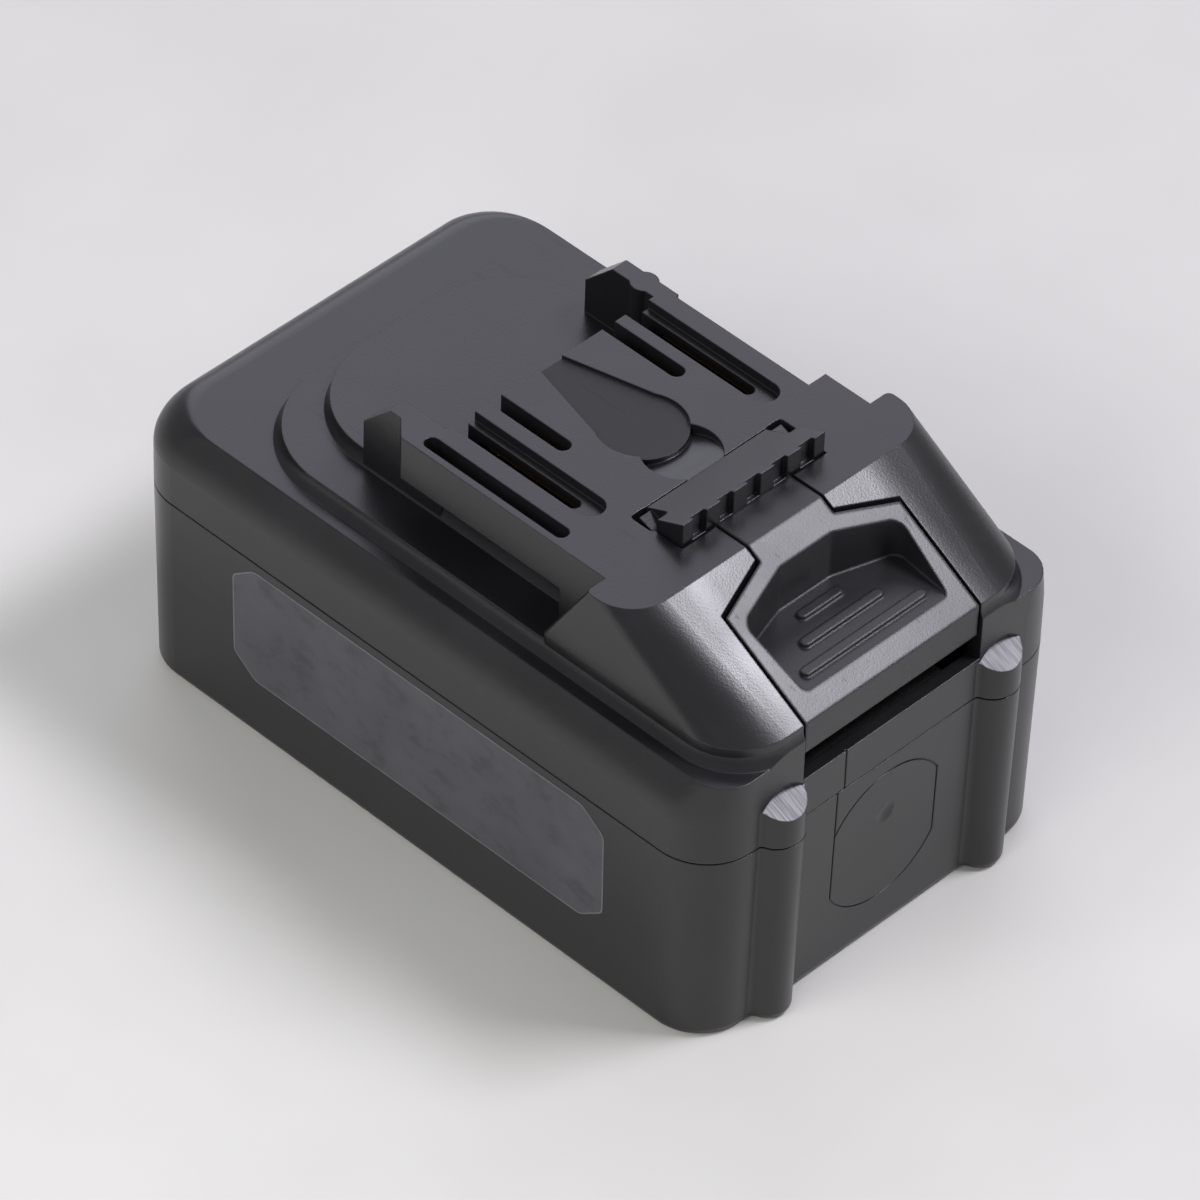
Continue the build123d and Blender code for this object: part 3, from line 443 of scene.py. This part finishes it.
def laminate_material():
    """Glass-epoxy laminate under a green solder mask: half-gloss, with a faint unevenness."""
    return plain_finish("solder_masked_laminate", "#12482a", "#0d3a22", patch_mm=5.0, roughness=0.30,
                        depth_mm=0.004, grain_mm=0.6)


def resin_material():
    """Moulded epoxy of chips and transistors: dark and matt."""
    return plain_finish("moulded_epoxy_resin", "#1d1d1f", "#262628", patch_mm=2.0, roughness=0.60,
                        depth_mm=0.006, grain_mm=0.2)


def foam_material():
    """Closed-cell foam: dark and matt, with a pitted cut skin."""
    return plain_finish("closed_cell_foam", "#2a2a2a", "#363636", patch_mm=3.0, roughness=0.90,
                        depth_mm=0.08, grain_mm=0.5)


def fibre_material():
    """Fish paper: pale grey-green vulcanised fibre with a soft fleck."""
    return plain_finish("vulcanised_fibre", "#8f9484", "#7f8577", patch_mm=4.0, roughness=0.70,
                        depth_mm=0.008, grain_mm=0.3)


def sleeve_material():
    """Heat-shrunk PVC sleeve: glossy blue-green, with faint waves where it shrank."""
    return plain_finish("shrunk_pvc_sleeve", "#2c6a80", "#2a6379", patch_mm=9.0, roughness=0.25,
                        depth_mm=0.02, grain_mm=4.0)


SLOT_MATERIALS = {
    "case_plastic": case_material, "button_plastic": button_material, "inner_plastic": inner_material,
    "screw_steel": screw_material, "spring_steel": spring_material, "board_laminate": laminate_material,
    "component_resin": resin_material, "contact_brass": contact_material, "foam": foam_material,
    "sheet_fibre": fibre_material, "nickel": nickel_material, "cell_sleeve": sleeve_material,
}


def dress_nodes():
    """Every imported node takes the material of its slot; returns the materials by slot."""
    slots = {part["node"]: part["material_slot"] for part in frame["record"]["subparts"]}
    made = {slot: make() for slot, make in SLOT_MATERIALS.items()}
    for name, piece in frame["nodes"].items():
        piece.data.materials.clear()
        piece.data.materials.append(made[slots[name]])
    return made


# Film on the left wall, in mm
FILM_FRONT_Y = -37.8
FILM_REAR_Y = 38.9
FILM_LOW_Z = 11.3
FILM_HIGH_Z = 33.5
FILM_CUT_Y = 4.5
FILM_CUT_Z = 3.4
FILM_CORNER_RADIUS = 0.8
FILM_CORNER_STEPS = 4
# Width of the film's rim, which carries a painted highlight
FILM_BORDER = 0.24
FILM_THICKNESS = 0.025
FILM_STAND_OFF = 0.005
DRAFT = math.radians(1.0)
PARTING_Z = 35.4

# Finish of the film
FILM_COLOUR = "#424146"
FILM_CLOUD = "#49484d"
FILM_RUB = "#2b2b2d"
FILM_RUB_SHARE = 0.60
FILM_RUB_MM = 4.0
FILM_RUB_STRETCH = (1.0, 0.7, 1.0)
FILM_CLOUD_MM = 14.0
FILM_GRAIN_MM = 0.5
FILM_GRAIN_DEPTH_MM = 0.004
FILM_SHEEN = (0.40, 0.55)


def film_material():
    """Matt overlaminated polyester film: even dark satin, with small darker rubs from handling."""
    material, tree = new_material("overlaminated_polyester_film")
    rubs = grain(tree, FILM_RUB_MM, detail=5.0, stretch=FILM_RUB_STRETCH, roughness=0.6)
    clouds = grain(tree, FILM_CLOUD_MM, detail=3.0)
    fine = grain(tree, FILM_GRAIN_MM)
    clouded = add_node(tree, "ShaderNodeMapRange", spread(clouds, MIDDLE_NOISE))
    base = add_node(tree, "ShaderNodeMix", {
        MIX_SHARE: clouded, MIX_FIRST: linear(FILM_COLOUR), MIX_SECOND: linear(FILM_CLOUD)}, data_type="RGBA")
    rubbed = add_node(tree, "ShaderNodeMapRange", spread(rubs, FILM_RUB_NOISE, (0.0, FILM_RUB_SHARE)))
    base = add_node(tree, "ShaderNodeMix", {
        MIX_SHARE: rubbed, MIX_FIRST: base, MIX_SECOND: linear(FILM_RUB)}, data_type="RGBA")
    dull = add_node(tree, "ShaderNodeMapRange", spread(rubs, MIDDLE_NOISE, FILM_SHEEN))
    relief = add_node(tree, "ShaderNodeBump", {"Height": fine, "Distance": FILM_GRAIN_DEPTH_MM * MM})
    add_surface(tree, {"Base Color": base, "Roughness": dull, "Normal": relief})
    return material


def film_edge_highlight_material():
    """Thin paler line round the film's cut edge: a painted highlight."""
    return plain_finish("painted_film_edge_highlight", "#66666c", "#5a5a60", patch_mm=3.0, roughness=0.40,
                        depth_mm=0.003, grain_mm=0.5)


def wall_x(z):
    """The drafted left wall at height z, in mm."""
    half = WHOLE_HIGH.x / MM
    return -half + (PARTING_Z - z) * math.tan(DRAFT)


def film_outline():
    """Film outline in (y, z) millimetres: a long rectangle with its four corners cut away."""
    middle_y, middle_z = (FILM_FRONT_Y + FILM_REAR_Y) / 2, (FILM_LOW_Z + FILM_HIGH_Z) / 2
    half_y, half_z = FILM_REAR_Y - middle_y, FILM_HIGH_Z - middle_z
    quarter = [(half_y, half_z - FILM_CUT_Z), (half_y - FILM_CUT_Y, half_z)]
    turned = [(quarter, 1, 1), (quarter[::-1], -1, 1), (quarter, -1, -1), (quarter[::-1], 1, -1)]
    return [(middle_y + side_y * y, middle_z + side_z * z)
            for points, side_y, side_z in turned for y, z in points]


def add_film():
    """Thin film that lies on the drafted wall, with its border as a ring of faces."""
    mesh = bmesh.new()
    corners = [mesh.verts.new(Vector((wall_x(z) - FILM_STAND_OFF, y, z)) * MM) for y, z in film_outline()]
    mesh.faces.new(corners)
    bmesh.ops.bevel(mesh, geom=list(mesh.verts), offset=FILM_CORNER_RADIUS * MM, segments=FILM_CORNER_STEPS,
                    affect="VERTICES", profile=0.5)
    bmesh.ops.inset_region(mesh, faces=list(mesh.faces), thickness=FILM_BORDER * MM, use_boundary=True)
    shell = bmesh.ops.extrude_face_region(mesh, geom=list(mesh.faces))
    moved = [item for item in shell["geom"] if isinstance(item, bmesh.types.BMVert)]
    bmesh.ops.translate(mesh, verts=moved, vec=Vector((-FILM_THICKNESS, 0, 0)) * MM)
    bmesh.ops.recalc_face_normals(mesh, faces=mesh.faces)
    # The narrow rim faces take the second material, a painted edge highlight
    largest = max(face.calc_area() for face in mesh.faces)
    for face in mesh.faces:
        face.material_index = 0 if face.calc_area() > largest / 2 else 1
    piece = add_object("side_film", plain_mesh("side_film", mesh))
    piece.data.materials.append(film_material())
    piece.data.materials.append(film_edge_highlight_material())
    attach(piece, "pack")


# Screws: one Geometry Nodes tree that sets a thread-forming screw on each of its seats
SCREW_SIZES = ("Head Radius", "Head Height", "Thread Radius", "Reach", "Pitch", "Thread Depth")
THREAD_PITCH_MM = 0.9
THREAD_DEPTH_MM = 0.28
SCREW_SIDES = 32
DOME_RINGS = 16

# Six-lobe drive, as shares of the head's radius, of the drive's own radius and of the head's height
DRIVE_SHARE = 0.52
LOBE_COUNT = 6
LOBE_RING_SHARE = 0.72
LOBE_SHARE = 0.28
LOBE_SIDES = 12
DRIVE_CORE_SHARE = 0.74
DRIVE_CORE_SIDES = 24
DRIVE_LIFT_SHARE = 0.15

# Point and thread, as shares of the core's radius and of its length
POINT_LENGTH_SHARE = 1.2
POINT_TIP_SHARE = 0.4
THREAD_SHARE = 0.86
THREAD_START_SHARE = 0.10
THREAD_STEPS = 20
RIDGE_SIDES = 4

# How near two heights are that count as one, in mm
LEVEL_MM = 0.01


def lifted(tree, mesh, height):
    """A mesh raised by a height."""
    offset = add_node(tree, "ShaderNodeCombineXYZ", {"Z": height})
    return add_node(tree, "GeometryNodeTransform", {"Geometry": mesh, "Translation": offset})


def screw_head(tree, radius, height):
    """Head with its rounded side down and a six-lobe recess in it."""
    ball = add_node(tree, "GeometryNodeMeshUVSphere", {
        "Segments": SCREW_SIDES, "Rings": DOME_RINGS, "Radius": 1.0})
    shape = add_node(tree, "ShaderNodeCombineXYZ", {"X": radius, "Y": radius, "Z": height})
    ball = add_node(tree, "GeometryNodeTransform", {"Geometry": ball, "Scale": shape})
    blank = add_node(tree, "GeometryNodeMeshCylinder", {
        "Vertices": SCREW_SIDES, "Radius": radius, "Depth": height})
    middle = add_node(tree, "ShaderNodeMath", {0: height, 1: 0.5}, operation="MULTIPLY")
    dome = add_node(tree, "GeometryNodeMeshBoolean", {
        "Mesh 2": [lifted(tree, ball, height), lifted(tree, blank, middle)]},
        operation="INTERSECT", solver="EXACT")

    drive = add_node(tree, "ShaderNodeMath", {0: radius, 1: DRIVE_SHARE}, operation="MULTIPLY")
    ring_radius = add_node(tree, "ShaderNodeMath", {0: drive, 1: LOBE_RING_SHARE}, operation="MULTIPLY")
    lobe_radius = add_node(tree, "ShaderNodeMath", {0: drive, 1: LOBE_SHARE}, operation="MULTIPLY")
    core_radius = add_node(tree, "ShaderNodeMath", {0: drive, 1: DRIVE_CORE_SHARE}, operation="MULTIPLY")
    ring = add_node(tree, "GeometryNodeMeshCircle", {"Vertices": LOBE_COUNT, "Radius": ring_radius})
    lobe = add_node(tree, "GeometryNodeMeshCylinder", {
        "Vertices": LOBE_SIDES, "Radius": lobe_radius, "Depth": height})
    lobes = add_node(tree, "GeometryNodeInstanceOnPoints", {"Points": ring, "Instance": lobe})
    lobes = add_node(tree, "GeometryNodeRealizeInstances", {"Geometry": lobes})
    core = add_node(tree, "GeometryNodeMeshCylinder", {
        "Vertices": DRIVE_CORE_SIDES, "Radius": core_radius, "Depth": height})
    recess = add_node(tree, "GeometryNodeJoinGeometry", {"Geometry": [lobes, core]})
    lift = add_node(tree, "ShaderNodeMath", {0: height, 1: DRIVE_LIFT_SHARE}, operation="MULTIPLY")
    return add_node(tree, "GeometryNodeMeshBoolean", {
        "Mesh 1": dome, "Mesh 2": lifted(tree, recess, lift), "Self Intersection": True},
        operation="DIFFERENCE", solver="EXACT")


def screw_shank(tree, size):
    """Core, blunt point and a helix of thread, standing on the head."""
    head_height = size["Head Height"]
    radius = add_node(tree, "ShaderNodeMath", {0: size["Thread Radius"], 1: size["Thread Depth"]},
                      operation="SUBTRACT")
    point_length = add_node(tree, "ShaderNodeMath", {0: radius, 1: POINT_LENGTH_SHARE}, operation="MULTIPLY")
    tip = add_node(tree, "ShaderNodeMath", {0: radius, 1: POINT_TIP_SHARE}, operation="MULTIPLY")
    length = add_node(tree, "ShaderNodeMath", {0: size["Reach"], 1: point_length}, operation="SUBTRACT")
    half = add_node(tree, "ShaderNodeMath", {0: length, 1: 0.5}, operation="MULTIPLY")
    middle = add_node(tree, "ShaderNodeMath", {0: head_height, 1: half}, operation="ADD")
    end = add_node(tree, "ShaderNodeMath", {0: head_height, 1: length}, operation="ADD")
    core = add_node(tree, "GeometryNodeMeshCylinder", {
        "Vertices": SCREW_SIDES, "Radius": radius, "Depth": length})
    point = add_node(tree, "GeometryNodeMeshCone", {
        "Vertices": SCREW_SIDES, "Radius Top": tip, "Radius Bottom": radius, "Depth": point_length})

    threaded = add_node(tree, "ShaderNodeMath", {0: length, 1: THREAD_SHARE}, operation="MULTIPLY")
    turns = add_node(tree, "ShaderNodeMath", {0: threaded, 1: size["Pitch"]}, operation="DIVIDE")
    helix = add_node(tree, "GeometryNodeCurveSpiral", {
        "Resolution": THREAD_STEPS, "Rotations": turns, "Start Radius": radius, "End Radius": radius,
        "Height": threaded})
    upright = add_node(tree, "GeometryNodeSetCurveNormal", {"Curve": helix}, mode="Z_UP")
    ridge = add_node(tree, "GeometryNodeCurvePrimitiveCircle", {
        "Resolution": RIDGE_SIDES, "Radius": size["Thread Depth"]})
    thread = add_node(tree, "GeometryNodeCurveToMesh", {
        "Curve": upright, "Profile Curve": ridge, "Fill Caps": True})
    gap = add_node(tree, "ShaderNodeMath", {0: length, 1: THREAD_START_SHARE}, operation="MULTIPLY")
    start = add_node(tree, "ShaderNodeMath", {0: head_height, 1: gap}, operation="ADD")
    return [lifted(tree, core, middle), lifted(tree, point, end), lifted(tree, thread, start)]


def screw_tree():
    """Tree that sets a whole screw, head down, on each seat."""
    tree = bpy.data.node_groups.new("thread_forming_screws", "GeometryNodeTree")
    tree.interface.new_socket("Seats", in_out="INPUT", socket_type="NodeSocketGeometry")
    for name in SCREW_SIZES:
        tree.interface.new_socket(name, in_out="INPUT", socket_type="NodeSocketFloat")
    tree.interface.new_socket("Steel", in_out="INPUT", socket_type="NodeSocketMaterial")
    tree.interface.new_socket("Screws", in_out="OUTPUT", socket_type="NodeSocketGeometry")
    size = add_node(tree, "NodeGroupInput").outputs
    head = screw_head(tree, size["Head Radius"], size["Head Height"])
    whole = add_node(tree, "GeometryNodeJoinGeometry", {"Geometry": [head] + screw_shank(tree, size)})
    placed = add_node(tree, "GeometryNodeInstanceOnPoints", {"Points": size["Seats"], "Instance": whole})
    solid = add_node(tree, "GeometryNodeRealizeInstances", {"Geometry": placed})
    finished = add_node(tree, "GeometryNodeSetMaterial", {"Geometry": solid, "Material": size["Steel"]})
    add_node(tree, "NodeGroupOutput", {"Screws": finished})
    return tree


def separate_solids(mesh):
    """Points of each connected solid of an edit mesh, in the mesh's own order; the mesh is then freed."""
    solids = []
    waiting = set(mesh.verts)
    for first in mesh.verts:
        if first not in waiting:
            continue
        waiting.remove(first)
        reached = [first]
        points = []
        while reached:
            vert = reached.pop()
            points.append(vert.co.copy())
            near = {edge.other_vert(vert) for edge in vert.link_edges} & waiting
            waiting -= near
            reached.extend(near)
        solids.append(points)
    mesh.free()
    return solids


def screw_facts(node):
    """Seats of a node's screws and the sizes of one, in metres, read from its plain solids."""
    solids = separate_solids(welded_copy(node))
    seats = []
    for points in solids:
        low = min(point.z for point in points)
        rim = [point for point in points if point.z < low + LEVEL_MM * MM]
        middle_x = (min(point.x for point in rim) + max(point.x for point in rim)) / 2
        middle_y = (min(point.y for point in rim) + max(point.y for point in rim)) / 2
        seats.append(Vector((middle_x, middle_y, low)))
    seat = seats[0]
    outline = [(round(math.hypot(point.x - seat.x, point.y - seat.y), 6), point.z - seat.z)
               for point in solids[0]]
    head_radius = max(radius for radius, height in outline)
    length = max(height for radius, height in outline)
    thread_radius = max(radius for radius, height in outline if height > length - LEVEL_MM * MM)
    middle_radius = (head_radius + thread_radius) / 2
    head_height = max(height for radius, height in outline if radius > middle_radius)
    return seats, (head_radius, head_height, thread_radius, length - head_height)


def add_screws(tree, node, steel):
    """Threaded screws in place of a node's plain ones."""
    seats, sizes = screw_facts(node)
    data = bpy.data.meshes.new(f"{node}_seats")
    data.from_pydata(seats, [], [])
    holder = add_object(f"{node}_seats", data)
    modifier = holder.modifiers.new("screws", "NODES")
    modifier.node_group = tree
    values = dict(zip(SCREW_SIZES, sizes + (THREAD_PITCH_MM * MM, THREAD_DEPTH_MM * MM)))
    values["Steel"] = steel
    for item in tree.interface.items_tree:
        if item.name in values:
            modifier[item.identifier] = values[item.name]
    depsgraph = bpy.context.evaluated_depsgraph_get()
    finished = bpy.data.meshes.new_from_object(holder.evaluated_get(depsgraph))
    bpy.data.objects.remove(holder)
    piece = add_object(f"threaded_{node}", finished)
    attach(piece, "pack")
    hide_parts(node)


def add_all_screws(steel):
    """The screws of the case, of the board and of the spring tray."""
    tree = screw_tree()
    for node in ("case_screws", "board_screws", "guide_screws"):
        add_screws(tree, node, steel)


# Springs under the button
def add_spring(node, steel):
    """Coil spring: a welded, smooth-shaded copy of the imported one, in its place."""
    mesh = welded_copy(node)
    bmesh.ops.recalc_face_normals(mesh, faces=mesh.faces)
    for face in mesh.faces:
        face.smooth = True
    piece = add_object(f"coiled_{node}", plain_mesh(f"coiled_{node}", mesh))
    piece.data.materials.append(steel)
    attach(piece, "pack")
    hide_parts(node)
    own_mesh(piece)


def add_springs(steel):
    """Both springs."""
    for side in ("left", "right"):
        add_spring(f"button_spring_{side}", steel)


# Floor, lights and background, in metres and watts
FLOOR_SIZE = 6.0
FLOOR_COLOUR = "#c7c6c2"
FLOOR_PATCH_COLOUR = "#c0bfbb"
FLOOR_PATCH_MM = 60.0
FLOOR_ROUGHNESS = 0.6
ROOM_COLOUR = "#f2f3f6"
ROOM_STRENGTH = 0.34


def floor_material():
    """Painted floor: pale and matt, with slow faint patches."""
    material, tree = new_material("pale_painted_floor")
    patches = grain(tree, FLOOR_PATCH_MM, detail=5.0)
    share = add_node(tree, "ShaderNodeMapRange", spread(patches, MOST_NOISE))
    base = add_node(tree, "ShaderNodeMix", {
        MIX_SHARE: share, MIX_FIRST: linear(FLOOR_COLOUR), MIX_SECOND: linear(FLOOR_PATCH_COLOUR)},
        data_type="RGBA")
    add_surface(tree, {"Base Color": base, "Roughness": FLOOR_ROUGHNESS})
    return material


def add_floor():
    """Plain pale floor under the pack."""
    mesh = bmesh.new()
    bmesh.ops.create_grid(mesh, x_segments=1, y_segments=1, size=FLOOR_SIZE / 2)
    floor = add_object("floor", plain_mesh("floor", mesh))
    floor.location.z = WHOLE_LOW.z
    floor.data.materials.append(floor_material())


def add_softbox(name, direction, distance, size, power, colour="#ffffff", mirrored=True):
    """Rectangular light that faces the pack; one that isn't mirrored lights without a highlight."""
    data = bpy.data.lights.new(name, "AREA")
    data.shape = "RECTANGLE"
    data.size, data.size_y = size
    data.energy = power
    data.color = linear(colour)[:3]
    light = add_object(name, data)
    toward = Vector(direction).normalized()
    light.location = VIEW_TARGET + toward * distance
    light.rotation_euler = toward.to_track_quat("Z", "Y").to_euler()
    light.visible_glossy = mirrored


def add_lights():
    """Key strip over the front, large cool panel behind the right, soft fill from the left, dim room."""
    add_softbox("key_strip", direction=(0.42, -0.37, 0.84), distance=1.6, size=(0.56, 0.38),
                power=21.5, colour="#f7f5ff")
    add_softbox("rear_panel", direction=(0.56, 0.62, 0.50), distance=1.9, size=(1.6, 1.5),
                power=11.2, colour="#eeecff")
    add_softbox("left_fill", direction=(-0.78, -0.08, 0.62), distance=0.55, size=(0.5, 0.3),
                power=2.1, mirrored=False)
    world = bpy.data.worlds.new("room")
    world.use_nodes = True
    background = world.node_tree.nodes["Background"]
    background.inputs["Color"].default_value = linear(ROOM_COLOUR)
    background.inputs["Strength"].default_value = ROOM_STRENGTH
    bpy.context.scene.world = world
    bpy.context.scene.view_settings.view_transform = "Standard"


add_camera()
add_floor()
add_lights()
made = dress_nodes()
add_film()
add_all_screws(made["screw_steel"])
add_springs(made["spring_steel"])
